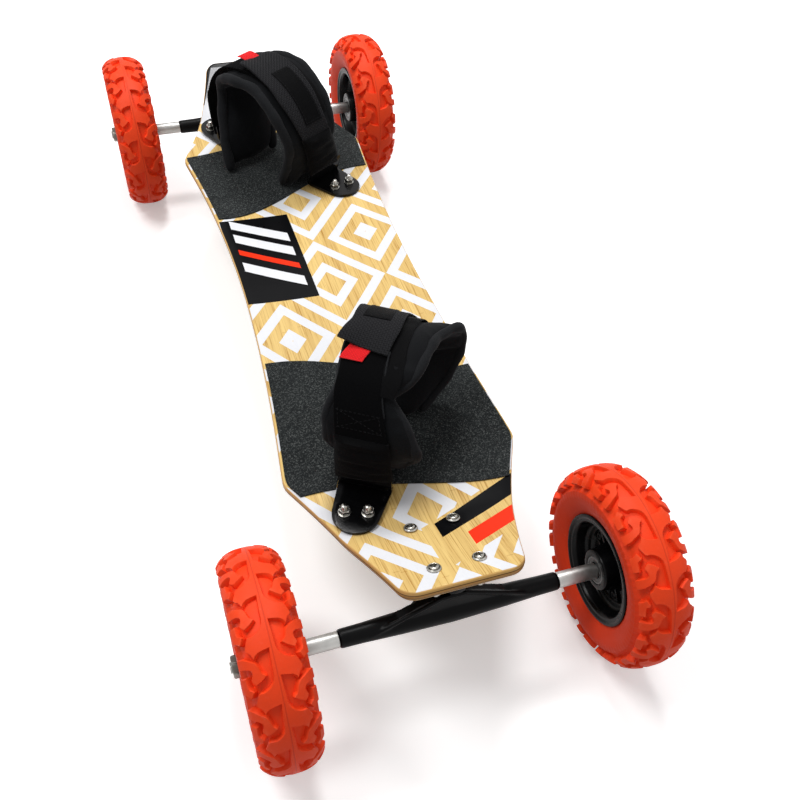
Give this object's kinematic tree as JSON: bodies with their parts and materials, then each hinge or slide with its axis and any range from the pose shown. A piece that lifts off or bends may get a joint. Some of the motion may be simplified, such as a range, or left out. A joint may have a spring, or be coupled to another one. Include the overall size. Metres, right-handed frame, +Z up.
{
  "type": "mountainboard",
  "caption": "All-terrain skateboard: twin-tip ply deck with bent-up tips, padded duck-stance foot bindings, sprung kingpin trucks and knobbly air tyres on dished rims.",
  "frame": {"origin": "on the ground, below the middle of the deck", "axes": "+Y along the deck toward the rear tip, +X to the right, +Z up"},
  "size_m": [0.4118, 1.0694, 0.281],
  "materials": {
    "bamboo": "clear satin lacquer over bamboo ply",
    "grip": "coarse grit",
    "black_steel": "gloss black powder coat",
    "black_cast": "satin black anodised casting",
    "steel": "zinc plated",
    "foam": "knitted cover over foam",
    "webbing": "woven and brushed hook-and-loop webbing",
    "red_tab": "woven tape",
    "tyre_rubber": "matt coloured rubber",
    "rim_plastic": "gloss moulding",
    "urethane": "cast urethane"
  },
  "bodies": {
    "board": {"deck": "bamboo", "front_grip_sheet": "grip", "front_left_binding_plate": "black_steel", "front_right_binding_plate": "black_steel", "front_binding_pad": "foam", "front_lower_strap": "webbing", "front_upper_strap": "webbing", "front_pull_tab": "red_tab", "front_truck_base": "black_cast", "front_kingpin": "steel", "front_kingpin_nut": "steel", "front_upper_bushing": "urethane", "front_lower_bushing": "urethane", "front_pivot_cup": "urethane", "front_truck_bolt_1": "steel", "front_truck_bolt_2": "steel", "front_truck_bolt_3": "steel", "front_truck_bolt_4": "steel", "rear_grip_sheet": "grip", "rear_left_binding_plate": "black_steel", "rear_right_binding_plate": "black_steel", "rear_binding_pad": "foam", "rear_lower_strap": "webbing", "rear_upper_strap": "webbing", "rear_pull_tab": "red_tab", "rear_truck_base": "black_cast", "rear_kingpin": "steel", "rear_kingpin_nut": "steel", "rear_upper_bushing": "urethane", "rear_lower_bushing": "urethane", "rear_pivot_cup": "urethane", "rear_truck_bolt_1": "steel", "rear_truck_bolt_2": "steel", "rear_truck_bolt_3": "steel", "rear_truck_bolt_4": "steel"},
    "front_axle_set": {"front_hanger": "black_cast", "front_axle": "steel", "front_left_axle_spacer": "steel", "front_left_axle_nut": "steel", "front_right_axle_spacer": "steel", "front_right_axle_nut": "steel"},
    "front_left_wheel": {"front_left_tyre": "tyre_rubber", "front_left_rim": "rim_plastic", "front_left_bearings": "steel"},
    "front_right_wheel": {"front_right_tyre": "tyre_rubber", "front_right_rim": "rim_plastic", "front_right_bearings": "steel"},
    "rear_axle_set": {"rear_hanger": "black_cast", "rear_axle": "steel", "rear_left_axle_spacer": "steel", "rear_left_axle_nut": "steel", "rear_right_axle_spacer": "steel", "rear_right_axle_nut": "steel"},
    "rear_left_wheel": {"rear_left_tyre": "tyre_rubber", "rear_left_rim": "rim_plastic", "rear_left_bearings": "steel"},
    "rear_right_wheel": {"rear_right_tyre": "tyre_rubber", "rear_right_rim": "rim_plastic", "rear_right_bearings": "steel"}
  },
  "joints": [
    {"name": "front_steer", "type": "hinge", "parent": "board", "child": "front_axle_set", "pos_m": [0, -0.42866, 0.14125], "axis": [0, 0.6905, -0.7233], "range_deg": [-16, 16], "stiffness_Nm_per_rad": 60, "deforming": ["front_upper_bushing", "front_lower_bushing"]},
    {"name": "front_left_spin", "type": "hinge", "parent": "front_axle_set", "child": "front_left_wheel", "pos_m": [-0.17175, -0.43472, 0.1], "axis": [1, 0, 0], "continuous": true},
    {"name": "front_right_spin", "type": "hinge", "parent": "front_axle_set", "child": "front_right_wheel", "pos_m": [0.17175, -0.43472, 0.1], "axis": [1, 0, 0], "continuous": true},
    {"name": "rear_steer", "type": "hinge", "parent": "board", "child": "rear_axle_set", "pos_m": [0, 0.42866, 0.14125], "axis": [0, -0.6905, -0.7233], "range_deg": [-16, 16], "stiffness_Nm_per_rad": 60, "deforming": ["rear_upper_bushing", "rear_lower_bushing"]},
    {"name": "rear_left_spin", "type": "hinge", "parent": "rear_axle_set", "child": "rear_left_wheel", "pos_m": [-0.17175, 0.43472, 0.1], "axis": [1, 0, 0], "continuous": true},
    {"name": "rear_right_spin", "type": "hinge", "parent": "rear_axle_set", "child": "rear_right_wheel", "pos_m": [0.17175, 0.43472, 0.1], "axis": [1, 0, 0], "continuous": true}
  ]
}
